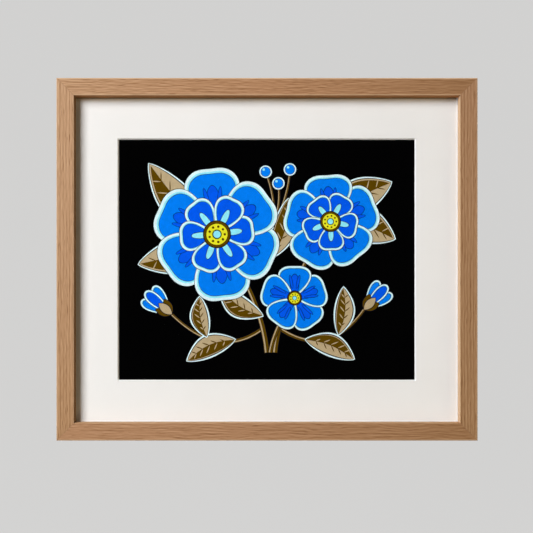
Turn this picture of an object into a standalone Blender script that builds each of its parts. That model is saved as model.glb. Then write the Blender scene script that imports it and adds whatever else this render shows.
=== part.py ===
"""Framed print: a mitred oak frame with clear glazing, a window mat, a printed sheet and a back panel.

Metres, +Z up. The front faces -Y and the wall is the plane Y = 0. The origin is the point that the frame
hangs from: the top of the hanger's middle notch, on the wall.
"""

import math

import bmesh
import bpy
from mathutils import Vector

MM = 0.001

# Frame moulding, seen in section
OUTER_WIDTH = 358 * MM
OUTER_HEIGHT = 308.3 * MM
RAIL_WIDTH = 15 * MM
FRAME_DEPTH = 25 * MM
LIP_DEPTH = 8 * MM
REBATE_WIDTH = 6 * MM
OUTER_EASE = 1.0 * MM
SIGHT_EASE = 0.6 * MM
BACK_EASE = 0.5 * MM
EASE_STEPS = 3

# Position on the wall
WALL_GAP = 3 * MM
TOP_ABOVE_NOTCH = 7 * MM

# Room left between pieces that touch, also along the mitres
TOUCH_GAP = 0.3 * MM

# Sheets in the rebate, from the front
SHEET_CLEARANCE = 1 * MM
GLAZING_THICKNESS = 1.2 * MM
MAT_THICKNESS = 1.4 * MM
PRINT_THICKNESS = 0.3 * MM
PANEL_THICKNESS = 3 * MM

# Window of the mat, close to ten by eight inches, and the sheet behind it
WINDOW_WIDTH = 255 * MM
WINDOW_HEIGHT = 207 * MM
WINDOW_BEVEL = 1.0 * MM
PRINT_MARGIN = 8 * MM

# Bendable tabs that hold the panel
TAB_WIDTH = 8 * MM
TAB_LENGTH = 13 * MM
TAB_THICKNESS = 0.7 * MM
TAB_IN_RAIL = 4 * MM
TAB_CORNER = 2 * MM
WIDE_TAB_PITCH = 105 * MM
TALL_TAB_PITCH = 140 * MM

# V-shaped fasteners across the mitres
VNAIL_LEG = 7 * MM
VNAIL_THICKNESS = 0.6 * MM
VNAIL_DEPTH = 10 * MM
VNAIL_INSET = 4.2 * MM
VNAIL_SUNK = 0.2 * MM

# Sawtooth hanger and its nails
HANGER_LENGTH = 45 * MM
HANGER_THICKNESS = 0.8 * MM
HANGER_TOP = 6.3 * MM
HANGER_CORNER = 1.5 * MM
HANGER_RAISED = 24 * MM
HANGER_RAMP = 3 * MM
TOOTH_DEPTH = 1.6 * MM
TOOTH_PITCH = 2.4 * MM
TOOTH_TIP = 0.4 * MM
NOTCHES = 9
NAIL_SPACING = 37 * MM
NAIL_RADIUS = 0.8 * MM
NAIL_LENGTH = 9 * MM
NAIL_HEAD_RADIUS = 1.8 * MM
NAIL_HEAD_TOP_RADIUS = 1.4 * MM
NAIL_HEAD = 0.7 * MM
NAIL_TIP = 1.5 * MM

# Wall bumpers
BUMPER_RADIUS = 4 * MM
BUMPER_EASE = 0.6 * MM
BUMPER_INSET = 22 * MM

# Turned pieces
NAIL_SIDES = 12
BUMPER_SIDES = 32
CUTTER_OVERRUN = 1 * MM
WELD = 1e-7

ACRYLIC_IOR = 1.49

# Derived positions
BACK_Y = -WALL_GAP
FRONT_Y = BACK_Y - FRAME_DEPTH
SHOULDER_Y = FRONT_Y + LIP_DEPTH
LAND_WIDTH = RAIL_WIDTH - REBATE_WIDTH
CENTRE_Z = TOP_ABOVE_NOTCH - OUTER_HEIGHT / 2
GLAZING_Y = SHOULDER_Y + TOUCH_GAP
MAT_Y = GLAZING_Y + GLAZING_THICKNESS + TOUCH_GAP
PRINT_Y = MAT_Y + MAT_THICKNESS + TOUCH_GAP
PANEL_Y = PRINT_Y + PRINT_THICKNESS + TOUCH_GAP
TAB_Y = PANEL_Y + PANEL_THICKNESS + TOUCH_GAP
SHEET_WIDTH = OUTER_WIDTH - 2 * (LAND_WIDTH + SHEET_CLEARANCE)
SHEET_HEIGHT = OUTER_HEIGHT - 2 * (LAND_WIDTH + SHEET_CLEARANCE)
HANGER_Y = BACK_Y + TOUCH_GAP

# Side name, turn about Y, length of the rail, centre to outer edge, number of tabs, tab pitch
SIDES = (
    ("top", 0, OUTER_WIDTH, OUTER_HEIGHT / 2, 3, WIDE_TAB_PITCH),
    ("right", 90, OUTER_HEIGHT, OUTER_WIDTH / 2, 2, TALL_TAB_PITCH),
    ("bottom", 180, OUTER_WIDTH, OUTER_HEIGHT / 2, 3, WIDE_TAB_PITCH),
    ("left", 270, OUTER_HEIGHT, OUTER_WIDTH / 2, 2, TALL_TAB_PITCH),
)

# Corner name, side signs in X and Z, and the two rails that meet there
CORNERS = (
    ("top_left", -1, 1, ("frame_top", "frame_left")),
    ("top_right", 1, 1, ("frame_top", "frame_right")),
    ("bottom_left", -1, -1, ("frame_bottom", "frame_left")),
    ("bottom_right", 1, -1, ("frame_bottom", "frame_right")),
)

# Linear base colour, roughness, metallic
FINISHES = {
    "oak": ((0.45, 0.27, 0.15), 0.55, 0.0),
    "clear_acrylic": ((0.95, 0.97, 0.97), 0.03, 0.0),
    "mat_board": ((0.87, 0.84, 0.80), 0.9, 0.0),
    "print_paper": ((0.02, 0.05, 0.12), 0.6, 0.0),
    "fibreboard": ((0.30, 0.19, 0.11), 0.8, 0.0),
    "zinc_steel": ((0.55, 0.55, 0.54), 0.35, 1.0),
    "brass_steel": ((0.72, 0.53, 0.27), 0.35, 1.0),
    "felt": ((0.10, 0.10, 0.10), 0.95, 0.0),
}


def clear_scene():
    for thing in list(bpy.data.objects):
        bpy.data.objects.remove(thing, do_unlink=True)


def make_material(name):
    colour, roughness, metallic = FINISHES[name]
    material = bpy.data.materials.new(name)
    material.use_nodes = True
    shader = material.node_tree.nodes["Principled BSDF"]
    shader.inputs["Base Color"].default_value = (*colour, 1.0)
    shader.inputs["Roughness"].default_value = roughness
    shader.inputs["Metallic"].default_value = metallic
    if name == "clear_acrylic":
        shader.inputs["Transmission Weight"].default_value = 1.0
        shader.inputs["IOR"].default_value = ACRYLIC_IOR
    return material


def add_object(name, bm, finish=None, parent=None):
    """Turn a bmesh into a named object. One with no finish is a cutter."""
    bmesh.ops.recalc_face_normals(bm, faces=bm.faces)
    mesh = bpy.data.meshes.new(name)
    bm.to_mesh(mesh)
    bm.free()
    thing = bpy.data.objects.new(name, mesh)
    bpy.context.collection.objects.link(thing)
    thing.parent = parent
    if finish is None:
        thing.hide_render = True
        thing.display_type = "WIRE"
    else:
        mesh.materials.append(make_material(finish))
    return thing


def cut(thing, cutter):
    modifier = thing.modifiers.new(cutter.name, "BOOLEAN")
    modifier.operation = "DIFFERENCE"
    modifier.object = cutter
    modifier.solver = "EXACT"


def rounded(corners, radii, steps=EASE_STEPS):
    """Outline with each right-angled corner replaced by an arc of its radius."""
    points = []
    for i, radius in enumerate(radii):
        corner = Vector(corners[i])
        before = (Vector(corners[i - 1]) - corner).normalized() * radius
        after = (Vector(corners[(i + 1) % len(corners)]) - corner).normalized() * radius
        if radius == 0:
            points.append(corner)
            continue
        centre = corner + before + after
        for step in range(steps + 1):
            turn = math.pi / 2 * step / steps
            points.append(centre - after * math.cos(turn) - before * math.sin(turn))
    return points


def extrude(points, direction):
    """Closed solid from a flat outline of 3-D points and the way it is pushed."""
    bm = bmesh.new()
    face = bm.faces.new([bm.verts.new(p) for p in points])
    pushed = bmesh.ops.extrude_face_region(bm, geom=[face])["geom"]
    bmesh.ops.translate(bm, vec=direction, verts=[v for v in pushed if isinstance(v, bmesh.types.BMVert)])
    return bm


def spin(profile, sides):
    """Solid turned about Y from (radius, y) points that start and end on the axis."""
    bm = bmesh.new()
    verts = [bm.verts.new((radius, y, 0)) for radius, y in profile]
    edges = [bm.edges.new(pair) for pair in zip(verts, verts[1:])]
    bmesh.ops.spin(
        bm,
        geom=verts + edges,
        cent=(0, 0, 0),
        axis=(0, 1, 0),
        angle=2 * math.pi,
        steps=sides,
        use_merge=True,
    )
    bmesh.ops.remove_doubles(bm, verts=bm.verts, dist=WELD)
    return bm


def smooth(thing, angle=math.radians(35)):
    thing.data.shade_smooth()
    thing.data.set_sharp_from_angle(angle=angle)


def rectangle(width, height, y):
    return [
        Vector((x * width / 2, y, CENTRE_Z + z * height / 2))
        for x, z in ((-1, -1), (1, -1), (1, 1), (-1, 1))
    ]


def make_rail(name, length, reach, side):
    """One moulding: an L in section, with both ends mitred."""
    inner = -RAIL_WIDTH
    land = -LAND_WIDTH
    corners = (
        (FRONT_Y, 0),
        (BACK_Y, 0),
        (BACK_Y, land),
        (SHOULDER_Y, land),
        (SHOULDER_Y, inner),
        (FRONT_Y, inner),
    )
    radii = (OUTER_EASE, BACK_EASE, 0, 0, 0, SIGHT_EASE)
    section = [Vector((-1, p.x, p.y)) for p in rounded(corners, radii)]
    bm = extrude(section, Vector((2, 0, 0)))
    setback = TOUCH_GAP / 2 * math.sqrt(2)
    for v in bm.verts:
        v.co.x *= length / 2 + v.co.z - setback
        v.co.z += reach
    rail = add_object(name, bm, "oak", side)
    smooth(rail)
    return rail


def tab_outline(reach, place, grow):
    """Strip that stands out of the rebate wall, with rounded free corners."""
    half = TAB_WIDTH / 2 + grow
    root = reach - LAND_WIDTH + TAB_IN_RAIL + grow
    tip = root - TAB_LENGTH - 2 * grow
    corners = ((place - half, root), (place + half, root), (place + half, tip), (place - half, tip))
    return rounded(corners, (0, 0, TAB_CORNER, TAB_CORNER))


def make_tabs(rail, side_name, reach, count, pitch, side):
    for i in range(count):
        place = (i - (count - 1) / 2) * pitch
        outline = [Vector((p.x, TAB_Y, p.y)) for p in tab_outline(reach, place, 0)]
        bm = extrude(outline, Vector((0, TAB_THICKNESS, 0)))
        add_object(f"tab_{side_name}_{i + 1}", bm, "zinc_steel", side)
        hole = [Vector((p.x, TAB_Y - TOUCH_GAP, p.y)) for p in tab_outline(reach, place, TOUCH_GAP)]
        bm = extrude(hole, Vector((0, TAB_THICKNESS + 2 * TOUCH_GAP, 0)))
        cut(rail, add_object(f"slot_{side_name}_{i + 1}", bm, parent=side))


def make_sides():
    rails = {}
    for side_name, turn, length, reach, count, pitch in SIDES:
        side = bpy.data.objects.new(f"side_{side_name}", None)
        bpy.context.collection.objects.link(side)
        side.location = (0, 0, CENTRE_Z)
        side.rotation_euler = (0, math.radians(turn), 0)
        name = f"frame_{side_name}"
        rails[name] = make_rail(name, length, reach, side)
        make_tabs(rails[name], side_name, reach, count, pitch, side)
    return rails


def vnail_outline(sign_x, sign_z, grow, y):
    """V with its point on the mitre and one leg along each rail."""
    near = -grow
    web = VNAIL_THICKNESS + grow
    far = VNAIL_LEG + grow
    corners = ((near, near), (far, near), (far, web), (web, web), (web, far), (near, far))
    return [
        Vector((
            sign_x * (OUTER_WIDTH / 2 - VNAIL_INSET - a),
            y,
            CENTRE_Z + sign_z * (OUTER_HEIGHT / 2 - VNAIL_INSET - b),
        ))
        for a, b in corners
    ]


def make_vnails(rails):
    for corner_name, sign_x, sign_z, rail_names in CORNERS:
        outline = vnail_outline(sign_x, sign_z, 0, BACK_Y - VNAIL_SUNK)
        bm = extrude(outline, Vector((0, -VNAIL_DEPTH, 0)))
        add_object(f"v_nail_{corner_name}", bm, "zinc_steel")
        hole = vnail_outline(sign_x, sign_z, TOUCH_GAP, BACK_Y + CUTTER_OVERRUN)
        depth = CUTTER_OVERRUN + VNAIL_SUNK + VNAIL_DEPTH + TOUCH_GAP
        cutter = add_object(f"v_slot_{corner_name}", extrude(hole, Vector((0, -depth, 0))))
        for rail_name in rail_names:
            cut(rails[rail_name], cutter)


def make_sheets():
    """Glazing, printed sheet and back panel."""
    sheets = (
        ("glazing", SHEET_WIDTH, SHEET_HEIGHT, GLAZING_Y, GLAZING_THICKNESS, "clear_acrylic"),
        (
            "print",
            WINDOW_WIDTH + 2 * PRINT_MARGIN,
            WINDOW_HEIGHT + 2 * PRINT_MARGIN,
            PRINT_Y,
            PRINT_THICKNESS,
            "print_paper",
        ),
        ("back_panel", SHEET_WIDTH, SHEET_HEIGHT, PANEL_Y, PANEL_THICKNESS, "fibreboard"),
    )
    for name, width, height, y, thickness, finish in sheets:
        bm = extrude(rectangle(width, height, y), Vector((0, thickness, 0)))
        add_object(name, bm, finish)


def make_mat():
    """Board with a window whose cut sides slope out to the front."""
    back_y = MAT_Y + MAT_THICKNESS
    rings = (
        rectangle(SHEET_WIDTH, SHEET_HEIGHT, MAT_Y),
        rectangle(WINDOW_WIDTH + 2 * WINDOW_BEVEL, WINDOW_HEIGHT + 2 * WINDOW_BEVEL, MAT_Y),
        rectangle(WINDOW_WIDTH, WINDOW_HEIGHT, back_y),
        rectangle(SHEET_WIDTH, SHEET_HEIGHT, back_y),
    )
    bm = bmesh.new()
    loops = []
    for ring in rings:
        verts = [bm.verts.new(p) for p in ring]
        loops.append([bm.edges.new((verts[i - 1], verts[i])) for i in range(len(verts))])
    for i, loop in enumerate(loops):
        bmesh.ops.bridge_loops(bm, edges=loops[i - 1] + loop)
    add_object("mat", bm, "mat_board")


def hanger_outline():
    """Strip with rounded ends and a row of notches along its lower edge."""
    half = HANGER_LENGTH / 2
    foot = -TOOTH_DEPTH
    ends = rounded(
        ((-half, foot), (half, foot), (half, HANGER_TOP), (-half, HANGER_TOP)),
        (HANGER_CORNER,) * 4,
    )
    mouth = (TOOTH_PITCH - TOOTH_TIP) / 2
    teeth = []
    for i in range(NOTCHES):
        middle = (i - (NOTCHES - 1) / 2) * TOOTH_PITCH
        teeth += [Vector((middle - mouth, foot)), Vector((middle, 0)), Vector((middle + mouth, foot))]
    first_end = EASE_STEPS + 1
    return ends[:first_end] + teeth + ends[first_end:]


def hanger_rise(x):
    """How far the strip stands off its flat ends, towards the wall."""
    height = -HANGER_THICKNESS - HANGER_Y
    along = (HANGER_RAISED / 2 + HANGER_RAMP - abs(x)) / HANGER_RAMP
    return height * min(max(along, 0), 1)


def make_hanger(top_rail):
    bm = extrude([Vector((p.x, HANGER_Y, p.y)) for p in hanger_outline()], Vector((0, HANGER_THICKNESS, 0)))
    for bend in (HANGER_RAISED / 2, HANGER_RAISED / 2 + HANGER_RAMP):
        for x in (-bend, bend):
            geometry = bm.verts[:] + bm.edges[:] + bm.faces[:]
            bmesh.ops.bisect_plane(bm, geom=geometry, dist=WELD, plane_co=(x, 0, 0), plane_no=(1, 0, 0))
    for v in bm.verts:
        v.co.y += hanger_rise(v.co.x)
    hanger = add_object("sawtooth_hanger", bm, "brass_steel")

    head_y = HANGER_Y + HANGER_THICKNESS + TOUCH_GAP
    shank_y = head_y - NAIL_LENGTH
    nail = (
        (0, shank_y),
        (NAIL_RADIUS, shank_y + NAIL_TIP),
        (NAIL_RADIUS, head_y),
        (NAIL_HEAD_RADIUS, head_y),
        (NAIL_HEAD_TOP_RADIUS, head_y + NAIL_HEAD),
        (0, head_y + NAIL_HEAD),
    )
    bore = NAIL_RADIUS + TOUCH_GAP
    hole = (
        (0, shank_y - TOUCH_GAP),
        (bore, shank_y - TOUCH_GAP),
        (bore, CUTTER_OVERRUN),
        (0, CUTTER_OVERRUN),
    )
    nail_z = (HANGER_TOP - TOOTH_DEPTH) / 2
    for label, sign in (("left", -1), ("right", 1)):
        place = (sign * NAIL_SPACING / 2, 0, nail_z)
        piece = add_object(f"hanger_nail_{label}", spin(nail, NAIL_SIDES), "brass_steel")
        piece.location = place
        smooth(piece)
        cutter = add_object(f"nail_hole_{label}", spin(hole, NAIL_SIDES))
        cutter.location = place
        cut(hanger, cutter)
        cut(top_rail, cutter)


def make_bumpers():
    profile = (
        (0, BACK_Y + TOUCH_GAP),
        (BUMPER_RADIUS, BACK_Y + TOUCH_GAP),
        (BUMPER_RADIUS, -BUMPER_EASE),
        (BUMPER_RADIUS - BUMPER_EASE, 0),
        (0, 0),
    )
    for label, sign in (("left", -1), ("right", 1)):
        bumper = add_object(f"bumper_{label}", spin(profile, BUMPER_SIDES), "felt")
        x = sign * (OUTER_WIDTH / 2 - BUMPER_INSET)
        bumper.location = (x, 0, CENTRE_Z - OUTER_HEIGHT / 2 + LAND_WIDTH / 2)
        smooth(bumper)


def main():
    clear_scene()
    rails = make_sides()
    make_vnails(rails)
    make_sheets()
    make_mat()
    make_hanger(rails["frame_top"])
    make_bumpers()
    bpy.context.view_layer.update()


main()
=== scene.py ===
"""Looks for the framed print: materials, printed design, glue in the mitres, stage, light and camera."""

import math

import bmesh
import bpy
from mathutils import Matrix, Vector
from mathutils.geometry import delaunay_2d_cdt


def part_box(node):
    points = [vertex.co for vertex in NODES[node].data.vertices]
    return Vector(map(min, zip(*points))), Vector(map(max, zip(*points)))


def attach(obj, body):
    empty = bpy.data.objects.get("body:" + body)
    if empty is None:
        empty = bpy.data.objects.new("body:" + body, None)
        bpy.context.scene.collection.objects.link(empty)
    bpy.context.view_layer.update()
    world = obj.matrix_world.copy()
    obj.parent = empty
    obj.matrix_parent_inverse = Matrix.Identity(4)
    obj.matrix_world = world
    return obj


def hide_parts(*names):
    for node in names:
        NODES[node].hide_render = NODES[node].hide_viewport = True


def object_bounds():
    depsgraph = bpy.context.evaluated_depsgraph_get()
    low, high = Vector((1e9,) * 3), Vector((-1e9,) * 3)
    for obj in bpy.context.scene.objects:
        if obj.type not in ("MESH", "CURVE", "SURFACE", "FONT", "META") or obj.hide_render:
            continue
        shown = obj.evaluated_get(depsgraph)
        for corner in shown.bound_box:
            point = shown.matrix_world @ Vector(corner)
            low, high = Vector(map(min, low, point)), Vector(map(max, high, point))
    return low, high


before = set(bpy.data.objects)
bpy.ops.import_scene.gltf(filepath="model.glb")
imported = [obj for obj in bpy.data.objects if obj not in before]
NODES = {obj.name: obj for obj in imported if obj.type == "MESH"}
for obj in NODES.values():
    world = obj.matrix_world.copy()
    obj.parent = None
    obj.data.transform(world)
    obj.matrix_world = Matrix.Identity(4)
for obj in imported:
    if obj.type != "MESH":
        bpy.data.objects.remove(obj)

MM = 0.001
CAD_BOX = [list(corner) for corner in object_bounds()]

# Places worked out from the frame
FRAME_LOW, FRAME_HIGH = (Vector(corner) for corner in CAD_BOX)
CENTRE = (FRAME_LOW + FRAME_HIGH) / 2
FRONT_Y = FRAME_LOW.y
BACK_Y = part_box("frame_top")[1].y
OUTER_WIDTH = FRAME_HIGH.x - FRAME_LOW.x
OUTER_HEIGHT = FRAME_HIGH.z - FRAME_LOW.z
PRINT_LOW, PRINT_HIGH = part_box("print")
PRINT_MARGIN = 8 * MM
WINDOW_BEVEL = 1.0 * MM
WINDOW_HALF_X = (PRINT_HIGH.x - PRINT_LOW.x) / 2 - PRINT_MARGIN
WINDOW_HALF_Z = (PRINT_HIGH.z - PRINT_LOW.z) / 2 - PRINT_MARGIN

# Moulding, as the solids have it
RAIL_WIDTH = 15 * MM
LAND_WIDTH = 9 * MM
OUTER_EASE = 1.0 * MM
SIGHT_EASE = 0.6 * MM
BACK_EASE = 0.5 * MM
SHEET_GAP = 0.3 * MM
SHOULDER_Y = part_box("glazing")[0].y - SHEET_GAP
STILES = ("left", "right")

# Corners of the frame, as ways to the right and up from its middle
CORNERS = {"top_left": (-1, 1), "top_right": (1, 1), "bottom_left": (-1, -1), "bottom_right": (1, -1)}

# Glue in the mitres: its half thickness, how far it stays under the wood, and its slots for the fasteners
GLUE_HALF = 0.13 * MM
GLUE_RECESS = 0.03 * MM
FASTENER_SLOT = (3.6 * MM, 5.4 * MM)
FASTENER_ROOM = 10.8 * MM

# Camera, straight on, a little below and left of the middle of the frame. The middle of the view is nearer to
# the frame's, by a shift of the lens
CAMERA_DISTANCE = 0.66
CAMERA_DROP = 28 * MM
CAMERA_LEFT = 13 * MM
VIEW_DROP = 6.12 * MM
VIEW_LEFT = 0.44 * MM
FRAME_PIXELS = 421.1
IMAGE_PIXELS = 533
SENSOR_WIDTH = 36

# Key softbox at the upper left, by the angles it covers as seen from the frame
KEY_DISTANCE = 2.2
KEY_LEFT = math.radians(36.9)
KEY_UP = math.radians(20.6)
KEY_HALF_WIDTH = math.radians(14.4)
KEY_HALF_HEIGHT = math.radians(19.0)
KEY_POWER = 67.4
KEY_COLOUR = (0.975, 0.985, 1.0)

# The other softboxes, placed from the middle of the frame in metres. mirrored: shown in glossy pieces
WHITE = (1.0, 1.0, 1.0)
WARM = (1.0, 0.83, 0.54)
SOFTBOXES = {
    "fill": {
        "place": (1.9, -1.3, -0.75), "size": (1.2, 1.6), "power": 13.2, "colour": WARM, "mirrored": False,
    },
    "side": {"place": (2.0, 0.3, 0.3), "size": (1.0, 1.2), "power": 9, "colour": WHITE, "mirrored": True},
    "rear": {"place": (0.7, 1.3, 1.3), "size": (2.0, 1.8), "power": 38, "colour": WHITE, "mirrored": True},
    "low": {"place": (-0.3, 0.9, -0.9), "size": (1.2, 1.0), "power": 15, "colour": WHITE, "mirrored": True},
}

# Room light, which turns from dim in front of the frame to brighter behind it, and as the camera sees it
ROOM_COLOUR = (1.0, 0.995, 0.985)
ROOM_TURN = (0.02, 0.35)
ROOM_LEVELS = (0.0065, 0.20)
ROOM_SEEN = 0.64

# Backdrop: a round floor that turns up into a wall all round
FLOOR_DROP = 1.0
FLOOR_RADIUS = 3.0
SWEEP_RADIUS = 1.2
SWEEP_HEIGHT = 4.5
SWEEP_STEPS = 16
ROUND_STEPS = 96
BACKDROP_DARK = (0.016, 0.016, 0.016)
BACKDROP_LIGHT = (0.024, 0.024, 0.024)
BACKDROP_GLOW = 0.635

# Range that nearly all values of a noise lie in
NOISE_RANGE = (0.3, 0.7)

# Oak: linear colours, roughness and gloss. The glue in the mitres takes its dust from the first two colours,
# toned down
OAK_DARK = (0.338, 0.174, 0.084)
OAK_MID = (0.483, 0.267, 0.147)
OAK_LIGHT = (0.617, 0.368, 0.223)
OAK_PORE = (0.20, 0.090, 0.035)
OAK_EDGE = (0.66, 0.435, 0.265)
OAK_ROUGHNESS = (0.40, 0.52)
OAK_GLOSS = 0.28
GLUE_TONE = 0.78

# Noise in the oak: scale along a rail, scale across it, both to the metre, and detail. For wide and fine
# streaks the first number is a share of the rail's own streaks
DRIFT = (30, 75, 2.0)
WIDE = (0.6, 430, 2.0)
FINE = (1.1, 1050, 1.0)
SHORT = (110, 1050, 0.0)
FIBRE = (130, 2600, 2.0)
CLOUD = (8, 50, 2.0)
PORES = (95, 1600, 1.0)
RIM_NOISE = (60, 300, 2.0)

# Shares of the kinds of noise in the grain. The fine streaks give a part of theirs to the growth rings
WIDE_SHARE = 0.10
FINE_SHARE = 0.45
SHORT_SHARE = 0.21
FIBRE_SHARE = 0.18
CLOUD_SHARE = 0.06

# Grain: how far it sways across a rail, the step between two streaks that are compared, the contrast of the
# thin lines so found, the roughness of its noise and its range to each side of the middle colour
GRAIN_SWAY = 2.2 * MM
GRAIN_STEP = 1.2 * MM
LINE_CONTRAST = 0.7
GRAIN_ROUGHNESS = 0.55
GRAIN_REACH = 0.145

# Growth rings: their spacing across the front of a rail, how far they sway, and how much they lean with depth
RING_PITCH = 2.6 * MM
RING_SWAY = 6.0 * MM
RING_SLANT = 0.6

# Place of each rail in the noise, times its seed
SEED_STEP = (1.37, 0.71, 0.43)

# Pores: range of the noise that they are cut from, range of the thin lines that takes more of them, and their
# least and greatest share
PORE_CUT = (0.59, 0.67)
PORE_ZONE = (0.55, 0.40)
PORE_SHARES = (0.15, 0.8)

# Relief of the oak: its depth, and how much the grain raises it and a pore lowers it
OAK_RELIEF = 0.10 * MM
GRAIN_RISE = 0.6
PORE_DROP = 0.5

# Where the pale edges fade, partly rubbed wood and partly painted highlight: in from the outer edge, back
# from the front, and towards the inner edge. Then the paleness of the outer edge, and its least and greatest
# share along a rail
RIM_FADE = (0.7 * MM, 1.3 * MM)
RIM_DEPTH = (1.1 * MM, 1.8 * MM)
ARRIS_FADE = (0.9 * MM, 0.5 * MM)
RIM_WEAR_AND_HIGHLIGHT = 0.9
RIM_SHARES = (0.7, 1.0)

# Inner wall, whose colour holds painted light and shade: where that colour begins, towards the inner edge,
# the range of the grain that shows in it, the tone of its dark lines, and how much duller it is than the
# front
WALL_FADE = (0.20 * MM, 0.05 * MM)
WALL_GRAIN = (0.42, 0.58)
WALL_TONE = 0.9
WALL_DULLNESS = 0.4

# Each rail is a length of wood of its own. waviness: how much its grain sways; streaks: to the metre along
# it; rings: share of the growth rings in the grain; contrast: of the grain; tones: painted light and shade
# along it, lighter towards the upper left, with some of the wood's own tone, at the left or lower end, in the
# middle and at the other end; arris_wear_and_highlight: paleness of the inner arris, partly wear and partly
# painted highlight; wall: colour of its inner wall, painted light on the right and lower rails and painted
# shade on the top and left ones
RAILS = {
    "top": {
        "seed": 1, "waviness": 1.7, "streaks": 48, "rings": 0.08, "contrast": 0.90,
        "tones": ((0.928, 0.98, 0.979), (0.837, 0.796, 0.739), (0.632, 0.591, 0.497)),
        "arris_wear_and_highlight": 0.9, "wall": (0.490, 0.218, 0.076),
    },
    "right": {
        "seed": 2, "waviness": 0.35, "streaks": 13, "rings": 0.12, "contrast": 0.84,
        "tones": ((0.746, 0.742, 0.641), (0.735, 0.73, 0.657), (0.772, 0.761, 0.73)),
        "arris_wear_and_highlight": 0.0, "wall": (0.705, 0.472, 0.290),
    },
    "bottom": {
        "seed": 3, "waviness": 1.4, "streaks": 42, "rings": 0.08, "contrast": 0.78,
        "tones": ((0.891, 0.873, 0.838), (0.834, 0.804, 0.749), (0.691, 0.653, 0.544)),
        "arris_wear_and_highlight": 0.0, "wall": (0.59, 0.355, 0.190),
    },
    "left": {
        "seed": 4, "waviness": 0.35, "streaks": 13, "rings": 0.12, "contrast": 0.90,
        "tones": ((0.84, 0.852, 0.772), (0.899, 0.941, 0.934), (0.951, 1.02, 1.046)),
        "arris_wear_and_highlight": 0.6, "wall": (0.265, 0.135, 0.049),
    },
}

# Mat board: painted light and shade on its face, as a tone at the foot and at the top, and linear colours,
# some of them painted shadow and painted highlight
MAT_PAINTED_LIGHT_TONES = (1.025, 0.955)
MAT_FACE = ((0.880, 0.866, 0.846), (0.900, 0.888, 0.870))
MAT_TOOTH = (0.845, 0.822, 0.790)
MAT_CORE = ((0.94, 0.935, 0.92), (0.985, 0.98, 0.97))
MAT_PAINTED_HIGHLIGHT = (0.99, 0.985, 0.975)
MAT_PAINTED_SHADOW = (0.76, 0.66, 0.50)
MAT_PAINTED_SHADOW_LINE = (0.56, 0.47, 0.37)

# Where painted marks on the mat fade out, in from the inner edge of a rail: the painted shadow and the darker
# painted shadow line in it under the top rail, and the painted highlight along the right and bottom rails
PAINTED_SHADOW_FADE = (0.4 * MM, 4.4 * MM)
PAINTED_SHADOW_LINE_FADE = (0.35 * MM, 0.6 * MM)
PAINTED_HIGHLIGHT_FADE = (0.7 * MM, 1.1 * MM)
CORE_INSET = 0.02 * MM

# Linear ink colours, and how far each one's mottle goes darker and lighter
INKS = {
    "black": (0.0003, 0.0003, 0.0004),
    "navy": (0.001, 0.004, 0.012),
    "pale": (0.70, 0.90, 0.95),
    "cyan": (0.28, 0.82, 0.95),
    "azure": (0.001, 0.205, 0.90),
    "royal": (0.001, 0.10, 0.85),
    "brown": (0.10, 0.052, 0.001),
    "taupe": (0.49, 0.38, 0.22),
    "yellow": (0.80, 0.78, 0.02),
}
INK_TONES = (0.93, 1.04)

# Other materials, as linear colours
PAPER = ((0.80, 0.79, 0.76), (0.87, 0.86, 0.84))
BOARD_FIBRES = ((0.155, 0.088, 0.045), (0.34, 0.215, 0.125))
BOARD_CLOUD = (0.20, 0.12, 0.065)
BOARD_FLECK = (0.42, 0.30, 0.19)
FELT = ((0.035, 0.035, 0.037), (0.16, 0.16, 0.165))
ACRYLIC_IOR = 1.49

# Plated steels: clean colour, dull colour, scale of the rolling streaks and roughness where smoothest
METALS = {
    "zinc_plate": ((0.62, 0.62, 0.61), (0.42, 0.42, 0.42), (300, 300, 6000), 0.26),
    "brass_plate": ((0.78, 0.57, 0.26), (0.55, 0.38, 0.16), (250, 5000, 5000), 0.24),
}

# Printed design, in millimetres from the middle of the window, right and up. Angles are in degrees
LARGE, MEDIUM, SMALL = (-43, 22), (55, 33), (24, -33)
LEFT_BUD, RIGHT_BUD = (-82, -47), (84, -43)
FORK = (6, 30)
BERRIES = ((-1, 76), (10, 66), (20, 78))
BERRY_RADIUS = 5.4

# Leaves behind the berries, between them and the stems, and in front of the stems: foot, angle, length, width
# and bend
REAR_LEAVES = (
    (LARGE, 134, 84, 27, 5),
    (LARGE, 201, 72, 27, 5),
    (MEDIUM, 33, 62, 27, 5),
    (MEDIUM, -15, 57, 27, 5),
)
MIDDLE_LEAVES = (((4, 2), 74, 52, 17, -4),)
FRONT_LEAVES = (
    ((-28, -69), 204, 44, 16, -4),
    ((-52, -66), 100, 34, 13, 3),
    ((34, -69), -22, 44, 16, 4),
    ((62, -64), 84, 40, 14, -3),
    ((-4, -48), 146, 44, 16, 5),
)
LEAF_VEINS = 5

# Stems: start, point that bends the curve, end, width at the start and at the end
STEMS = (
    ((-2, -58), (-40, -88), LEFT_BUD, 3.0, 2.2),
    ((9, -58), (52, -88), RIGHT_BUD, 3.0, 2.2),
    ((0, -80), (-4, -34), LARGE, 4.2, 3.0),
    ((7, -80), (12, -30), MEDIUM, 4.0, 2.6),
    ((3, -80), (6, -60), SMALL, 3.4, 2.6),
)

# Buds: foot, angle and size. Blooms: middle, radius, petals in a row, angle, depth of the notches and rows
BUDS = ((LEFT_BUD, 140, 29), (RIGHT_BUD, 46, 28))
BLOOMS = ((SMALL, 29, 5, -54, 0.03, 1), (MEDIUM, 42, 5, 22, 0.045, 2), (LARGE, 57, 6, 96, 0.035, 2))

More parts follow.
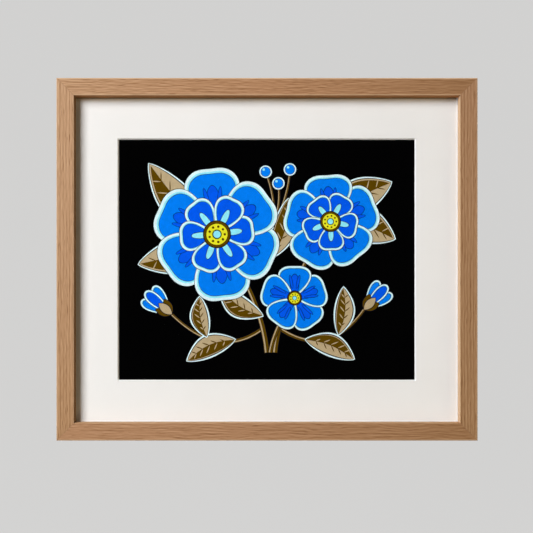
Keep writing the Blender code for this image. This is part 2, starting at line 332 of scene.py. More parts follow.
# Rows of petals, the outer one first. reach and rim: shares of the bloom's radius; width: share of a petal's
# room; marks: turn as a share of the step between petals, start as a share of the bloom's radius, end and
# width as shares of the petal's, and ink
BLOOM_ROWS = (
    {
        "reach": 1.0, "rim": 0.085, "width": 1.12, "body": "azure",
        "marks": (
            (0.0, 0.10, 0.72, 0.20, "royal"),
            (-0.17, 0.30, 0.70, 0.055, "royal"),
            (0.17, 0.30, 0.70, 0.055, "royal"),
        ),
    },
    {
        "reach": 0.60, "rim": 0.055, "width": 1.0, "body": "royal",
        "marks": ((0.0, 0.10, 0.66, 0.16, "cyan"),),
    },
)
PETAL_FOOT = 0.06
PETAL_SWAY = 0.05
PETAL_STRETCH = 0.035
NOTCH_WIDTH = 0.30
EDGE_LINE = 0.55
BODY_LINE = 0.45
EYE_SHARE = 0.20
EYE_DOTS = 9

# The sheet's triangulation keeps only what lies inside the outlines, and joins points nearer than this
KEEP_INSIDE = 1
SAME_PLACE = 1e-9


# Node helpers

def new_material(name):
    material = bpy.data.materials.new(name)
    material.use_nodes = True
    tree = material.node_tree
    return material, tree, tree.nodes["Principled BSDF"]


def feed(tree, node, inputs):
    """Set inputs of a node. Each takes a value or the socket that feeds it."""
    for key, value in inputs.items():
        if isinstance(value, bpy.types.NodeSocket):
            tree.links.new(value, node.inputs[key])
        else:
            node.inputs[key].default_value = value


def add(tree, kind, inputs=None, **settings):
    """Add a shader node with its settings and inputs."""
    made = tree.nodes.new("ShaderNode" + kind)
    for key, value in settings.items():
        setattr(made, key, value)
    feed(tree, made, inputs or {})
    return made


def calc(tree, operation, a, b=0.0):
    return add(tree, "Math", {0: a, 1: b}, operation=operation).outputs[0]


def place(tree, scale=(1, 1, 1), location=(0, 0, 0), rotation=(0, 0, 0)):
    """Object coordinates, moved, turned and scaled."""
    coordinates = add(tree, "TexCoord").outputs["Object"]
    moved = add(tree, "Mapping", {"Vector": coordinates, "Location": location, "Rotation": rotation})
    return add(tree, "Mapping", {"Vector": moved.outputs[0], "Scale": scale}).outputs[0]


def noise(tree, vector, scale=1.0, detail=3.0, roughness=0.5, distortion=0.0):
    inputs = {
        "Vector": vector,
        "Scale": scale,
        "Detail": detail,
        "Roughness": roughness,
        "Distortion": distortion,
    }
    return add(tree, "TexNoise", inputs).outputs["Fac"]


def spread(tree, value, low, high, to_low=0.0, to_high=1.0):
    inputs = {"Value": value, "From Min": low, "From Max": high, "To Min": to_low, "To Max": to_high}
    return add(tree, "MapRange", inputs).outputs["Result"]


def mix(tree, factor, a, b, blend="MIX"):
    made = add(tree, "Mix", data_type="RGBA", blend_type=blend)
    for key, value in (("Factor_Float", factor), ("A_Color", a), ("B_Color", b)):
        socket = next(s for s in made.inputs if s.identifier == key)
        if isinstance(value, bpy.types.NodeSocket):
            tree.links.new(value, socket)
        else:
            socket.default_value = value if key == "Factor_Float" else (*value, 1.0)
    return next(s for s in made.outputs if s.identifier == "Result_Color")


def tint(tree, colour, tone):
    return mix(tree, 1.0, colour, tone, "MULTIPLY")


def bump(tree, shader, height, depth, strength):
    made = add(tree, "Bump", {"Height": height, "Distance": depth, "Strength": strength})
    feed(tree, shader, {"Normal": made.outputs[0]})


def dimmed(colour, tone):
    return tuple(channel * tone for channel in colour)


def axis_place(tree, axis):
    """Place along one axis of the frame, in metres."""
    coordinates = add(tree, "TexCoord").outputs["Object"]
    return add(tree, "SeparateXYZ", {0: coordinates}).outputs[axis]


def edge_distance(tree, side):
    """Distance in from the outer edge of the frame on one side, in metres."""
    axis, edge, sign = {
        "left": ("X", FRAME_LOW.x, 1),
        "right": ("X", FRAME_HIGH.x, -1),
        "bottom": ("Z", FRAME_LOW.z, 1),
        "top": ("Z", FRAME_HIGH.z, -1),
    }[side]
    return calc(tree, "MULTIPLY", calc(tree, "SUBTRACT", axis_place(tree, axis), edge), sign)


# Oak

class Wood:
    """One rail's wood: how far a point lies in from the outer edge and back from the front, the slow drift of
    its grain, and noise drawn out along it."""

    def __init__(self, tree, side):
        self.tree = tree
        self.side = side
        self.rail = RAILS[side]
        self.inward = edge_distance(tree, side)
        self.deep = calc(tree, "SUBTRACT", axis_place(tree, "Y"), FRONT_Y)
        self.drift = self.noise(*DRIFT)

    def place(self, along, across, aside=0.0):
        x, y, z = (self.rail["seed"] * step for step in SEED_STEP)
        turn = (0, math.pi / 2, 0) if self.side in STILES else (0, 0, 0)
        return place(self.tree, (along, across, across), (x, y, z + aside), turn)

    def noise(self, along, across, detail):
        return noise(self.tree, self.place(along, across), detail=detail)

    def stretched(self, share, across, detail):
        """Scales and detail of a noise whose scale along the rail is a share of the rail's own streaks."""
        return self.rail["streaks"] * share, across, detail

    def streaks(self, along, across, detail, aside=0.0):
        """Streaks along the rail that sway together with the slow drift."""
        sway = calc(self.tree, "MULTIPLY", self.drift, self.rail["waviness"] * GRAIN_SWAY * across)
        shift = add(self.tree, "CombineXYZ", {"Y": sway, "Z": sway}).outputs[0]
        straight = self.place(along, across, aside)
        swayed = add(self.tree, "VectorMath", {0: straight, 1: shift}, operation="ADD").outputs[0]
        return noise(self.tree, swayed, detail=detail, roughness=GRAIN_ROUGHNESS)

    def lines(self, along, across, detail):
        """Streaks less the ones beside them, which leaves thin lines about 0.5 and no broad bands."""
        here, beside = (self.streaks(along, across, detail, aside) for aside in (0.0, GRAIN_STEP))
        difference = calc(self.tree, "SUBTRACT", here, beside)
        return calc(self.tree, "ADD", calc(self.tree, "MULTIPLY", difference, LINE_CONTRAST), 0.5)


def growth_rings(wood):
    """Growth lines along a rail, which sway with the drift and lean with the depth."""
    tree = wood.tree
    swing = calc(tree, "MULTIPLY", wood.drift, wood.rail["waviness"] * RING_SWAY)
    slant = calc(tree, "ADD", wood.inward, calc(tree, "MULTIPLY", wood.deep, RING_SLANT))
    phase = calc(tree, "MULTIPLY", calc(tree, "ADD", slant, swing), 2 * math.pi / RING_PITCH)
    return spread(tree, calc(tree, "SINE", phase), -1.0, 1.0)


def oak_grain(wood, fine, fibre):
    """Light and dark of the grain, about 0.5."""
    parts = (
        (wood.streaks(*wood.stretched(*WIDE)), WIDE_SHARE),
        (fine, FINE_SHARE - wood.rail["rings"]),
        (wood.lines(*SHORT), SHORT_SHARE),
        (fibre, FIBRE_SHARE),
        (wood.noise(*CLOUD), CLOUD_SHARE),
        (growth_rings(wood), wood.rail["rings"]),
    )
    grain = 0.0
    for part, share in parts:
        grain = calc(wood.tree, "ADD", calc(wood.tree, "MULTIPLY", part, share), grain)
    return grain


def grain_colour(wood, grain):
    reach = GRAIN_REACH / wood.rail["contrast"]
    colour = mix(wood.tree, spread(wood.tree, grain, 0.5 - reach, 0.5), OAK_DARK, OAK_MID)
    return mix(wood.tree, spread(wood.tree, grain, 0.5, 0.5 + reach), colour, OAK_LIGHT)


def painted_light_along_rail(tree, side):
    """Painted light and shade along a rail, lighter towards the upper left, with some of the wood's own tone:
    at its left or lower end, in its middle and at its other end.
    """
    upright = side in STILES
    axis, low, high = ("Z", FRAME_LOW.z, FRAME_HIGH.z) if upright else ("X", FRAME_LOW.x, FRAME_HIGH.x)
    along = axis_place(tree, axis)
    half = (low + high) / 2
    first, middle, last = RAILS[side]["tones"]
    tone = mix(tree, spread(tree, along, low, half), first, middle)
    return mix(tree, spread(tree, along, half, high), tone, last)


def open_pores(wood, fine):
    """Short dark pores, more of them in the dark lines of the grain."""
    zone = spread(wood.tree, fine, *PORE_ZONE, *PORE_SHARES)
    return calc(wood.tree, "MULTIPLY", spread(wood.tree, wood.noise(*PORES), *PORE_CUT), zone)


def worn_and_highlit_edges(wood):
    """Pale edges, partly rubbed wood and partly painted highlight, along the outer edge of the front and
    along the inner arris.
    """
    tree = wood.tree
    rim = spread(tree, wood.inward, *RIM_FADE, RIM_WEAR_AND_HIGHLIGHT, 0.0)
    rim = calc(tree, "MULTIPLY", rim, spread(tree, wood.noise(*RIM_NOISE), *NOISE_RANGE, *RIM_SHARES))
    rim = calc(tree, "MULTIPLY", rim, spread(tree, wood.deep, *RIM_DEPTH, 1.0, 0.0))
    arris_start, arris_end = (RAIL_WIDTH - fade for fade in ARRIS_FADE)
    arris = spread(tree, wood.inward, arris_start, arris_end, 0.0, wood.rail["arris_wear_and_highlight"])
    return calc(tree, "MAXIMUM", rim, arris)


def painted_light_wall_colour(wood, grain):
    """Colour of the inner wall, with a little of the grain: painted light on the right and lower rails,
    painted shade on the top and left ones.
    """
    light = wood.rail["wall"]
    return mix(wood.tree, spread(wood.tree, grain, *WALL_GRAIN), dimmed(light, WALL_TONE), light)


def oak(side):
    """Light oak with its grain along the rail, fine pores and pale edges, partly rubbed and partly painted
    highlight. Its colour also holds painted light and shade along the rail and on the inner wall.
    """
    material, tree, shader = new_material(f"oak_{side}")
    wood = Wood(tree, side)
    fine = wood.lines(*wood.stretched(*FINE))
    fibre = wood.noise(*FIBRE)
    grain = oak_grain(wood, fine, fibre)
    pores = open_pores(wood, fine)
    wall_start, wall_end = (RAIL_WIDTH - fade for fade in WALL_FADE)
    wall = spread(tree, wood.inward, wall_start, wall_end)

    # Painted light and shade along the rail, lighter towards the upper left, with some of the wood's own tone
    colour = tint(tree, grain_colour(wood, grain), painted_light_along_rail(tree, side))
    colour = mix(tree, pores, colour, OAK_PORE)
    # Pale edges: partly rubbed wood, partly painted highlight
    colour = mix(tree, worn_and_highlit_edges(wood), colour, OAK_EDGE)
    # Inner wall: painted light on the right and lower rails, painted shade on the top and left ones
    colour = mix(tree, wall, colour, painted_light_wall_colour(wood, grain))
    rough = spread(tree, fibre, *NOISE_RANGE, *OAK_ROUGHNESS)
    rough = calc(tree, "ADD", rough, calc(tree, "MULTIPLY", wall, WALL_DULLNESS))
    feed(tree, shader, {"Base Color": colour, "Roughness": rough, "Specular IOR Level": OAK_GLOSS})
    rise = calc(tree, "MULTIPLY", grain, GRAIN_RISE)
    drop = calc(tree, "MULTIPLY", pores, PORE_DROP)
    bump(tree, shader, calc(tree, "SUBTRACT", rise, drop), OAK_RELIEF, 0.6)
    return material


def wood_glue():
    """Glue in a mitre, filled with sanding dust of the oak."""
    material, tree, shader = new_material("mitre_glue")
    dust = noise(tree, place(tree), scale=1400)
    dark, light = (dimmed(colour, GLUE_TONE) for colour in (OAK_DARK, OAK_MID))
    shade = mix(tree, spread(tree, dust, *NOISE_RANGE), dark, light)
    feed(tree, shader, {"Base Color": shade, "Roughness": spread(tree, dust, *NOISE_RANGE, 0.50, 0.65)})
    bump(tree, shader, dust, 0.03 * MM, 0.5)
    return material


# Sheets in the frame

def clear_acrylic():
    """Clear polished sheet with a faint smear."""
    material, tree, shader = new_material("clear_acrylic")
    smear = noise(tree, place(tree, (9, 9, 9)), detail=2.0)
    feed(tree, shader, {
        "Base Color": (*WHITE, 1.0),
        "Transmission Weight": 1.0,
        "IOR": ACRYLIC_IOR,
        "Roughness": spread(tree, smear, 0.45, 0.75, 0.0, 0.012),
    })
    return material


def near_rail(tree, side, fade):
    """1 under one rail and along it, falling to 0 between two distances in from its inner edge."""
    near, far = fade
    return spread(tree, edge_distance(tree, side), RAIL_WIDTH + near, RAIL_WIDTH + far, 1.0, 0.0)


def inside_window(tree):
    """1 within the outer edge of the window's cut sides, otherwise 0."""
    inside = 1.0
    for axis, middle, half in (("X", CENTRE.x, WINDOW_HALF_X), ("Z", CENTRE.z, WINDOW_HALF_Z)):
        away = calc(tree, "ABSOLUTE", calc(tree, "SUBTRACT", axis_place(tree, axis), middle))
        within = calc(tree, "LESS_THAN", away, half + WINDOW_BEVEL - CORE_INSET)
        inside = calc(tree, "MULTIPLY", within, inside)
    return inside


def mat_board():
    """Off-white paper face with a soft tooth, and a white core on the cut sides of the window. The face holds
    painted
    light and shade: darker towards the top, a painted highlight along the right and lower sides, and a warm
    painted shadow with a darker line along the top, under the oak."""
    material, tree, shader = new_material("mat_board")
    tooth = noise(tree, place(tree), scale=1500, roughness=0.6)
    cloud = noise(tree, place(tree), scale=35, detail=2.0)
    face = mix(tree, spread(tree, cloud, *NOISE_RANGE), *MAT_FACE)
    face = mix(tree, spread(tree, tooth, *NOISE_RANGE, 0.0, 0.35), face, MAT_TOOTH)
    core = mix(tree, spread(tree, tooth, *NOISE_RANGE), *MAT_CORE)
    # Painted light and shade: the face darker towards the top, lighter towards the foot
    painted_light_tone = spread(tree, axis_place(tree, "Z"), FRAME_LOW.z, FRAME_HIGH.z, *MAT_PAINTED_LIGHT_TONES)
    face = add(tree, "VectorMath", {0: face, "Scale": painted_light_tone}, operation="SCALE").outputs[0]
    # Painted shadow under the top rail, with a darker painted shadow line next to the rail
    for fade, tone in ((PAINTED_SHADOW_FADE, MAT_PAINTED_SHADOW), (PAINTED_SHADOW_LINE_FADE, MAT_PAINTED_SHADOW_LINE)):
        face = mix(tree, near_rail(tree, "top", fade), face, tint(tree, face, tone))
    # Painted highlight along the right and bottom rails
    right, bottom = (near_rail(tree, side, PAINTED_HIGHLIGHT_FADE) for side in ("right", "bottom"))
    face = mix(tree, calc(tree, "MAXIMUM", right, bottom), face, MAT_PAINTED_HIGHLIGHT)
    colour = mix(tree, inside_window(tree), face, core)
    feed(tree, shader, {"Base Color": colour, "Roughness": 0.92, "Specular IOR Level": 0.2})
    bump(tree, shader, tooth, 0.05 * MM, 0.5)
    return material


def ink(name):
    """Flat ink on smooth paper: a trace of mottle and the paper's tooth."""
    material, tree, shader = new_material(f"ink_{name}")
    mottle = noise(tree, place(tree), scale=260, detail=4.0, roughness=0.6)
    tooth = noise(tree, place(tree), scale=2200, detail=2.0)
    darker, lighter = (dimmed(INKS[name], tone) for tone in INK_TONES)
    shade = mix(tree, spread(tree, mottle, 0.35, 0.65), darker, lighter)
    rough = spread(tree, tooth, *NOISE_RANGE, 0.62, 0.74)
    feed(tree, shader, {"Base Color": shade, "Roughness": rough, "Specular IOR Level": 0.0})
    bump(tree, shader, tooth, 0.02 * MM, 0.4)
    return material


def plain_paper():
    """Unprinted back and edges of the printed sheet."""
    material, tree, shader = new_material("print_paper")
    tooth = noise(tree, place(tree), scale=1200)
    shade = mix(tree, spread(tree, tooth, *NOISE_RANGE), *PAPER)
    feed(tree, shader, {"Base Color": shade, "Roughness": 0.85})
    bump(tree, shader, tooth, 0.03 * MM, 0.5)
    return material


def fibreboard():
    """Brown pressed board with short pale and dark fibres."""
    material, tree, shader = new_material("fibreboard")
    cloud = noise(tree, place(tree), scale=22)
    short = noise(tree, place(tree, (420, 420, 1500), rotation=(0, 0.6, 0)), roughness=0.6)
    long = noise(tree, place(tree, (1700, 600, 480), rotation=(0, -0.4, 0)), roughness=0.6)
    felted = calc(tree, "MULTIPLY", calc(tree, "ADD", short, long), 0.5)
    shade = mix(tree, spread(tree, felted, 0.38, 0.62), *BOARD_FIBRES)
    shade = mix(tree, spread(tree, cloud, *NOISE_RANGE, 0.0, 0.35), shade, BOARD_CLOUD)
    fleck = spread(tree, noise(tree, place(tree, (900, 900, 260)), detail=1.0), 0.68, 0.74, 0.0, 0.6)
    shade = mix(tree, fleck, shade, BOARD_FLECK)
    feed(tree, shader, {"Base Color": shade, "Roughness": spread(tree, felted, *NOISE_RANGE, 0.62, 0.82)})
    bump(tree, shader, felted, 0.08 * MM, 0.6)
    return material


# Fittings on the back

def metal(name):
    """Plated sheet steel with fine rolling streaks and a few dull patches."""
    clean, dull, streak, smooth = METALS[name]
    material, tree, shader = new_material(name)
    lines = noise(tree, place(tree, streak), detail=2.0)
    patches = noise(tree, place(tree), scale=240, detail=4.0, roughness=0.65)
    shade = mix(tree, spread(tree, patches, 0.35, 0.7), clean, dull)
    rolled = spread(tree, lines, *NOISE_RANGE, smooth, smooth + 0.10)
    worn = calc(tree, "ADD", rolled, spread(tree, patches, 0.4, 0.8, 0.0, 0.16))
    feed(tree, shader, {"Base Color": shade, "Roughness": worn, "Metallic": 1.0})
    bump(tree, shader, lines, 0.01 * MM, 0.4)
    return material


def felt():
    """Dark felt with a soft pile."""
    material, tree, shader = new_material("felt")
    fuzz = noise(tree, place(tree), scale=2600, detail=4.0, roughness=0.7)
    curl = noise(tree, place(tree), scale=700, detail=2.0, distortion=1.5)
    shade = mix(tree, spread(tree, fuzz, *NOISE_RANGE), *FELT)
    feed(tree, shader, {"Base Color": shade, "Roughness": 1.0, "Sheen Weight": 0.4})
    bump(tree, shader, calc(tree, "ADD", fuzz, curl), 0.3 * MM, 0.8)
    return material


# Materials on the solids

def dress(node, material):
    mesh = NODES[node].data
    mesh.materials.clear()
    mesh.materials.append(material)


def dress_nodes():
    for side in RAILS:
        dress(f"frame_{side}", oak(side))
    dress("glazing", clear_acrylic())
    NODES["glazing"].visible_shadow = False
    NODES["glazing"].visible_diffuse = False
    dress("mat", mat_board())
    dress("back_panel", fibreboard())
    zinc, brass, pad = metal("zinc_plate"), metal("brass_plate"), felt()
    for name in NODES:
        if name.startswith(("tab_", "v_nail_")):
            dress(name, zinc)
        elif "hanger" in name:
            dress(name, brass)
        elif name.startswith("bumper_"):
            dress(name, pad)


# Printed design: three blue flowers with leaves, buds and berries, in flat inks

class Design:
    """Outlines in painter's order, each with the ink that fills it."""

    def __init__(self):
        self.outlines = []
        self.inks = []

    def shape(self, name, points):
        """Add an outline, turned to run anticlockwise."""
        area = sum(a[0] * b[1] - b[0] * a[1] for a, b in zip(points, points[1:] + points[:1]))
        self.outlines.append(points if area > 0 else points[::-1])
        self.inks.append(name)


def turned(points, angle, middle):
    c, s = math.cos(angle), math.sin(angle)
    return [(middle[0] + x * c - y * s, middle[1] + x * s + y * c) for x, y in points]


def moved_back(points, shift):
    return [(x - shift, y) for x, y in points]


def disc(middle, radius, steps=40):
    turns = [2 * math.pi * i / steps for i in range(steps)]
    return [(middle[0] + radius * math.cos(turn), middle[1] + radius * math.sin(turn)) for turn in turns]


def petal_points(start, end, width, notch=0.0, fullness=0.62, steps=56):
    """Petal along +X from start to end, widest towards its tip, with an optional notch in the tip."""
    points = []
    for i in range(steps):
        turn = 2 * math.pi * i / steps
        along = (1 - math.cos(turn)) / 2
        dent = notch * math.exp(-(((turn - math.pi) / NOTCH_WIDTH) ** 2))
        swell = (1 - fullness) + fullness * along
        points.append((start + (end - start) * (along - dent), width / 2 * math.sin(turn) * swell))
    return points


def draw_petal(design, middle, angle, start, length, width, notch, body, rim):
    """Petal with a navy edge, a pale and a cyan rim, and a navy line round its body."""
    layers = (
        ("navy", -EDGE_LINE),
        ("pale", 0.0),
        ("cyan", rim * 0.55),
        ("navy", rim - BODY_LINE),
        (body, rim),
    )
    for name, inset in layers:
        points = petal_points(start + inset * 1.2, length - inset, width - 2 * inset, notch)
        design.shape(name, turned(points, angle, middle))


def draw_mark(design, middle, angle, start, end, width, name):
    """Slim mark along a petal, with a navy edge."""
    edge = petal_points(start - 0.4, end + 0.5, width + 0.9, fullness=0.15, steps=36)
    mark = petal_points(start, end, width, fullness=0.15, steps=36)
    design.shape("navy", turned(edge, angle, middle))
    design.shape(name, turned(mark, angle, middle))


def draw_eye(design, middle, radius):
    """Yellow eye in a brown ring, with a cyan heart and a ring of brown dots."""
    rings = (
        ("navy", radius + 0.7),
        ("brown", radius),
        ("yellow", radius * 0.80),
        ("navy", radius * 0.36),
        ("cyan", radius * 0.28),
    )
    for name, size in rings:
        design.shape(name, disc(middle, size))
    orbit = radius * 0.59
    for k in range(EYE_DOTS):
        angle = 2 * math.pi * k / EYE_DOTS
        spot = (middle[0] + orbit * math.cos(angle), middle[1] + orbit * math.sin(angle))
        design.shape("brown", disc(spot, radius * 0.095, 14))


def draw_bloom(design, middle, radius, petals, turn, notch, rows):
    """Open flower: an outer row of azure petals, perhaps an inner one of royal blue, and a yellow eye. No two
    petals have quite the same angle and length."""
    step = 2 * math.pi / petals
    for row, kind in enumerate(BLOOM_ROWS[:rows]):
        reach, rim = radius * kind["reach"], radius * kind["rim"]
        width = reach * 2 * math.sin(step / 2) * kind["width"]
        for k in range(petals):
            angle = turn + step * (k + 0.5 * row) + PETAL_SWAY * math.sin(3.1 * k + row)
            length = reach * (1 + PETAL_STRETCH * math.sin(2.3 * k + 1 + row))
            draw_petal(design, middle, angle, radius * PETAL_FOOT, length, width, notch, kind["body"], rim)
            for aside, start, end, mark_width, name in kind["marks"]:
                marked = (radius * start, length * end, width * mark_width)
                draw_mark(design, middle, angle + step * aside, *marked, name)
    draw_eye(design, middle, radius * EYE_SHARE)


def leaf_points(length, width, bend, low=1.0, steps=30):
    """Pointed leaf along +X that curves to one side. low: share of its lower half that is kept."""
    def spine(t):
        return bend * math.sin(math.pi * t)

    def half(t):
        return width / 2 * math.sin(math.pi * t) ** 0.8

    rising = [i / steps for i in range(1, steps)]
    falling = [1 - t for t in rising]
    upper = [(length * t, spine(t) + half(t)) for t in rising]
    lower = [(length * t, spine(t) - half(t) * low) for t in falling]
    return [(0.0, 0.0)] + upper + [(length, 0.0)] + lower


def draw_leaf(design, foot, angle, length, width, bend):
    """Leaf with a pale rim, a navy edge, one half taupe and the other brown, and veins in both."""
    for name, longer, wider in (("pale", 3, 4.4), ("navy", 1, 1.6)):
        grown = moved_back(leaf_points(length + longer, width + wider, bend), longer / 2)
        design.shape(name, turned(grown, angle, foot))
    design.shape("taupe", turned(leaf_points(length, width, bend), angle, foot))
    design.shape("brown", turned(leaf_points(length * 0.98, width * 0.92, bend, low=0.10), angle, foot))
    for k in range(LEAF_VEINS):
        t = (k + 1.2) / (LEAF_VEINS + 1.6)
        base = (length * t, bend * math.sin(math.pi * t))
        span = width * 0.40 * math.sin(math.pi * t) ** 0.8
        vein = leaf_points(span * 1.15, 1.0, 0.0, steps=8)
        for lean, name in ((0.75, "taupe"), (-0.75, "brown")):
            design.shape(name, turned(turned(vein, lean, base), angle, foot))


def bezier(a, b, c, t):
    return tuple((1 - t) ** 2 * p + 2 * t * (1 - t) * q + t * t * r for p, q, r in zip(a, b, c))


def draw_stem(design, a, b, c, thick, thin, steps=26):
    """Tapering stem along a curve, brown with a taupe light on one side."""
    def ribbon(grow, low, high):
        left, right = [], []
        for i in range(steps + 1):
            t = i / steps
            x, y = bezier(a, b, c, t)
            ahead = bezier(a, b, c, min(t + 0.01, 1.0))
            behind = bezier(a, b, c, max(t - 0.01, 0.0))
            dx, dy = ahead[0] - behind[0], ahead[1] - behind[1]
            size = math.hypot(dx, dy)
            nx, ny = -dy / size, dx / size
            half = (thick + (thin - thick) * t) / 2 + grow
            left.append((x + nx * half * high, y + ny * half * high))
            right.append((x - nx * half * low, y - ny * half * low))
        return left + right[::-1]

    design.shape("navy", ribbon(0.5, 1, 1))
    design.shape("brown", ribbon(0.0, 1, 1))
    design.shape("taupe", ribbon(0.0, -0.15, 0.75))


def draw_bud(design, foot, angle, size):
    """Closed flower: three blue petals, the middle one in front, in a cup of brown and taupe leaves."""
    rim = size * 0.075
    for spin in (-0.30, 0.30):
        draw_petal(design, foot, angle + spin, size * 0.10, size, size * 0.46, 0.0, "azure", rim)
    draw_petal(design, foot, angle, size * 0.05, size * 1.04, size * 0.48, 0.0, "royal", rim)
    cup = leaf_points(size * 0.50, size * 0.24, 0.0, steps=14)
    edge = moved_back(leaf_points(size * 0.50 + 1.2, size * 0.24 + 1.2, 0.0, steps=14), 0.6)
    for spin, name in ((-0.42, "brown"), (0.42, "brown"), (0.0, "taupe")):
        design.shape("navy", turned(edge, angle + spin, foot))
        design.shape(name, turned(cup, angle + spin, foot))


def draw_berries(design, fork, spots, radius):
    """Round berries on thin stems that leave one fork."""
    for spot in spots:
        bend = ((fork[0] + spot[0]) / 2 + (spot[1] - fork[1]) * 0.12, (fork[1] + spot[1]) / 2)
        draw_stem(design, fork, bend, spot, 2.2, 1.5, 14)
    for spot in spots:
        gleam = (spot[0] - radius * 0.30, spot[1] + radius * 0.34)
        layers = (
            ("navy", radius + 0.5, spot),
            ("pale", radius, spot),
            ("navy", radius * 0.80, spot),
            ("azure", radius * 0.74, spot),
            ("cyan", radius * 0.20, gleam),
        )
        for name, size, middle in layers:
            design.shape(name, disc(middle, size, 30))


def draw_leaves(design, leaves):
    for foot, angle, length, width, bend in leaves:
        draw_leaf(design, foot, math.radians(angle), length, width, bend)


def draw_design():
    """The whole design, from back to front."""
    design = Design()
    draw_leaves(design, REAR_LEAVES)
    draw_berries(design, FORK, BERRIES, BERRY_RADIUS)
    draw_leaves(design, MIDDLE_LEAVES)
    for stem in STEMS:
        draw_stem(design, *stem)
    draw_leaves(design, FRONT_LEAVES)
    for foot, angle, size in BUDS:
        draw_bud(design, foot, math.radians(angle), size)
    for middle, radius, petals, angle, notch, rows in BLOOMS:
        draw_bloom(design, middle, radius, petals, math.radians(angle), notch, rows)
    return design


# Pieces added to the solids, and the stage

def add_mesh(name, bm, materials):
    """Turn a bmesh into an object of the scene."""
    bmesh.ops.recalc_face_normals(bm, faces=bm.faces)
    mesh = bpy.data.meshes.new(name)
    bm.to_mesh(mesh)
    bm.free()
    for material in materials:
        mesh.materials.append(material)
    made = bpy.data.objects.new(name, mesh)
    bpy.context.scene.collection.objects.link(made)
    return made


def divided_front(outlines):
    """Triangles of the sheet's front, cut along the outlines, each with the numbers of the loops over it."""
    border = (
        (PRINT_LOW.x, PRINT_LOW.z),
        (PRINT_HIGH.x, PRINT_LOW.z),
        (PRINT_HIGH.x, PRINT_HIGH.z),
        (PRINT_LOW.x, PRINT_HIGH.z),
    )
    points = [Vector(corner) for corner in border]
    loops = [list(range(len(border)))]
    for outline in outlines:
        first = len(points)
        points += [Vector((CENTRE.x + x * MM, CENTRE.z + y * MM)) for x, y in outline]
        loops.append(list(range(first, len(points))))
    corners, _, faces, _, _, owners = delaunay_2d_cdt(points, [], loops, KEEP_INSIDE, SAME_PLACE)
    return corners, faces, owners


def thicken_sheet(bm, back_material):
    """Carry the rim of the sheet's front to its back, close it there, and give back and edges a material."""
    thickness = PRINT_HIGH.y - PRINT_LOW.y
    rim = [edge for edge in bm.edges if edge.is_boundary]
    deep = bmesh.ops.extrude_edge_only(bm, edges=rim)["geom"]
    for item in deep:
        if isinstance(item, bmesh.types.BMVert):
            item.co.y += thickness
    ends = [item for item in deep if isinstance(item, bmesh.types.BMEdge) and item.is_boundary]
    bmesh.ops.edgeloop_fill(bm, edges=ends)
    for face in bm.faces:
        if max(v.co.y for v in face.verts) > PRINT_LOW.y + thickness / 2:
            face.material_index = back_material


def make_print(paper):
    """Sheet whose front is divided along the outlines of the design, one ink for each area."""
    design = draw_design()
    inks = ["black"] + design.inks
    names = list(INKS)
    corners, faces, owners = divided_front(design.outlines)
    bm = bmesh.new()
    verts = [bm.verts.new((p.x, PRINT_LOW.y, p.y)) for p in corners]
    for face, owner in zip(faces, owners):
        made = bm.faces.new([verts[i] for i in face])
        made.material_index = names.index(inks[max(owner)])
    thicken_sheet(bm, len(names))
    sheet = add_mesh("printed_sheet", bm, [ink(name) for name in names] + [paper])
    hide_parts("print")
    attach(sheet, "root")


def eased(corners, steps=3):
    """Outline of (in, back, radius) corners, each with its arc."""
    outline = []
    for i, (across, deep, radius) in enumerate(corners):
        corner = Vector((across, deep))
        before = (Vector(corners[i - 1][:2]) - corner).normalized() * radius
        after = (Vector(corners[(i + 1) % len(corners)][:2]) - corner).normalized() * radius
        for step in range(steps + 1 if radius else 1):
            turn = math.pi / 2 * step / steps
            outline.append(corner + before * (1 - math.sin(turn)) + after * (1 - math.cos(turn)))
    return outline


def glue_outline():
    """Section of the moulding, with a slot for the fastener, as (in, back) points."""
    front, back, deep = FRONT_Y + GLUE_RECESS, BACK_Y - GLUE_RECESS, BACK_Y - FASTENER_ROOM
    outer, inner, land = GLUE_RECESS, RAIL_WIDTH - GLUE_RECESS, LAND_WIDTH - GLUE_RECESS
    shoulder = SHOULDER_Y - GLUE_RECESS
    slot_start, slot_end = FASTENER_SLOT
    return eased((
        (outer, front, OUTER_EASE),
        (outer, back, BACK_EASE),
        (slot_start, back, 0),
        (slot_start, deep, 0),
        (slot_end, deep, 0),
        (slot_end, back, 0),
        (land, back, 0),
        (land, shoulder, 0),
        (inner, shoulder, 0),
        (inner, front, SIGHT_EASE),
    ))


def make_glue():
    """A thin sheet of glue in each mitre."""
    outline = glue_outline()
    material = wood_glue()
    for name, (right, up) in CORNERS.items():
        across = Vector((right, 0, -up)).normalized() * GLUE_HALF
        bm = bmesh.new()
        face = bm.faces.new([bm.verts.new((
            CENTRE.x + right * (OUTER_WIDTH / 2 - inward),
            y,
            CENTRE.z + up * (OUTER_HEIGHT / 2 - inward),
        )) for inward, y in outline])
        bmesh.ops.translate(bm, vec=-across, verts=bm.verts)
        pushed = bmesh.ops.extrude_face_region(bm, geom=[face])["geom"]
        far_side = [item for item in pushed if isinstance(item, bmesh.types.BMVert)]
        bmesh.ops.translate(bm, vec=2 * across, verts=far_side)
        glue = add_mesh(f"glue_{name}", bm, [material])
        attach(glue, "root")


def backdrop_material():
    """Plain pale ground that is lit by its own glow."""
    material, tree, shader = new_material("backdrop")
    cloud = noise(tree, place(tree), scale=1.6)
    feed(tree, shader, {
        "Base Color": mix(tree, spread(tree, cloud, *NOISE_RANGE), BACKDROP_DARK, BACKDROP_LIGHT),
        "Emission Color": (*ROOM_COLOUR, 1.0),
        "Emission Strength": BACKDROP_GLOW,
        "Roughness": 0.9,
    })
    return material


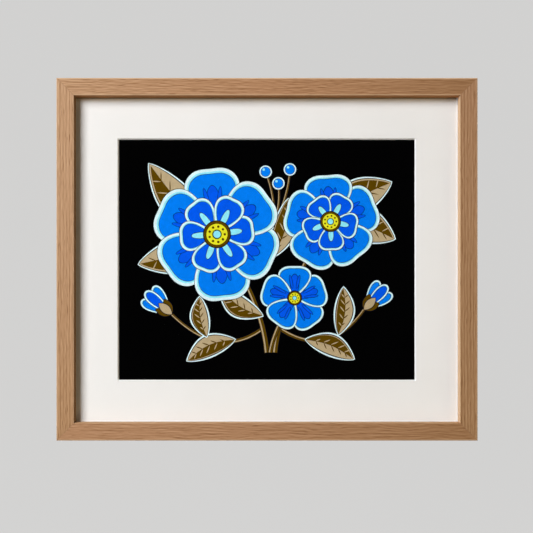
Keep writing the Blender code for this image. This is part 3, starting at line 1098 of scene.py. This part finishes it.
def make_stage():
    """Round floor well below the frame that turns up into a wall all round it. Only the camera sees it."""
    floor_z = FRAME_LOW.z - FLOOR_DROP
    flat_radius = FLOOR_RADIUS - SWEEP_RADIUS
    profile = [(0.0, floor_z), (flat_radius, floor_z)]
    for i in range(1, SWEEP_STEPS + 1):
        turn = math.pi / 2 * i / SWEEP_STEPS
        rise = SWEEP_RADIUS - SWEEP_RADIUS * math.cos(turn)
        profile.append((flat_radius + SWEEP_RADIUS * math.sin(turn), floor_z + rise))
    profile.append((FLOOR_RADIUS, floor_z + SWEEP_HEIGHT))
    bm = bmesh.new()
    verts = [bm.verts.new((CENTRE.x, CENTRE.y + across, z)) for across, z in profile]
    edges = [bm.edges.new(pair) for pair in zip(verts, verts[1:])]
    spin = {"cent": CENTRE, "axis": (0, 0, 1), "angle": 2 * math.pi, "steps": ROUND_STEPS}
    bmesh.ops.spin(bm, geom=verts + edges, use_merge=True, **spin)
    bmesh.ops.remove_doubles(bm, verts=bm.verts, dist=MM)
    stage = add_mesh("backdrop", bm, [backdrop_material()])
    stage.data.shade_smooth()
    stage.visible_diffuse = False
    stage.visible_glossy = False
    stage.visible_transmission = False
    stage.visible_shadow = False


# Light and camera

def softbox(name, position, size, power, colour, mirrored):
    """Lamp that faces the middle of the frame and isn't seen itself."""
    data = bpy.data.lights.new(name, "AREA")
    data.shape = "RECTANGLE"
    data.size, data.size_y = size
    data.energy = power
    data.color = colour
    lamp = bpy.data.objects.new(name, data)
    bpy.context.scene.collection.objects.link(lamp)
    lamp.location = position
    lamp.rotation_euler = (CENTRE - position).to_track_quat("-Z", "Y").to_euler()
    lamp.visible_camera = False
    lamp.visible_transmission = False
    lamp.visible_glossy = mirrored


def make_lights():
    way = Vector((
        -math.sin(KEY_LEFT) * math.cos(KEY_UP),
        -math.cos(KEY_LEFT) * math.cos(KEY_UP),
        math.sin(KEY_UP),
    ))
    size = [2 * KEY_DISTANCE * math.tan(half) for half in (KEY_HALF_WIDTH, KEY_HALF_HEIGHT)]
    softbox("key", CENTRE + way * KEY_DISTANCE, size, KEY_POWER, KEY_COLOUR, mirrored=False)
    for name, lamp in SOFTBOXES.items():
        position = CENTRE + Vector(lamp["place"])
        softbox(name, position, lamp["size"], lamp["power"], lamp["colour"], lamp["mirrored"])


def make_world():
    """Room light: dim in front of the frame, brighter behind it, and where seen as pale as the backdrop."""
    world = bpy.data.worlds.new("studio")
    world.use_nodes = True
    tree = world.node_tree
    seen = add(tree, "LightPath").outputs["Is Camera Ray"]
    direction = add(tree, "TexCoord").outputs["Generated"]
    back = add(tree, "SeparateXYZ", {0: direction}).outputs["Y"]
    level = spread(tree, back, *ROOM_TURN, *ROOM_LEVELS)
    strength = calc(tree, "MAXIMUM", level, calc(tree, "MULTIPLY", seen, ROOM_SEEN))
    feed(tree, tree.nodes["Background"], {"Color": (*ROOM_COLOUR, 1.0), "Strength": strength})
    bpy.context.scene.world = world


def make_camera():
    data = bpy.data.cameras.new("camera")
    data.sensor_width = SENSOR_WIDTH
    view_width = OUTER_WIDTH * IMAGE_PIXELS / FRAME_PIXELS
    data.lens = SENSOR_WIDTH * (CAMERA_DISTANCE + OUTER_EASE) / view_width
    data.shift_x = (CAMERA_LEFT - VIEW_LEFT) / view_width
    data.shift_y = (CAMERA_DROP - VIEW_DROP) / view_width
    camera = bpy.data.objects.new("camera", data)
    bpy.context.scene.collection.objects.link(camera)
    camera.location = (CENTRE.x - CAMERA_LEFT, FRONT_Y - CAMERA_DISTANCE, CENTRE.z - CAMERA_DROP)
    camera.rotation_euler = (math.pi / 2, 0, 0)
    bpy.context.scene.camera = camera


def main():
    dress_nodes()
    make_glue()
    make_print(plain_paper())
    make_stage()
    make_lights()
    make_world()
    make_camera()
    bpy.context.scene.view_settings.view_transform = "Standard"


main()
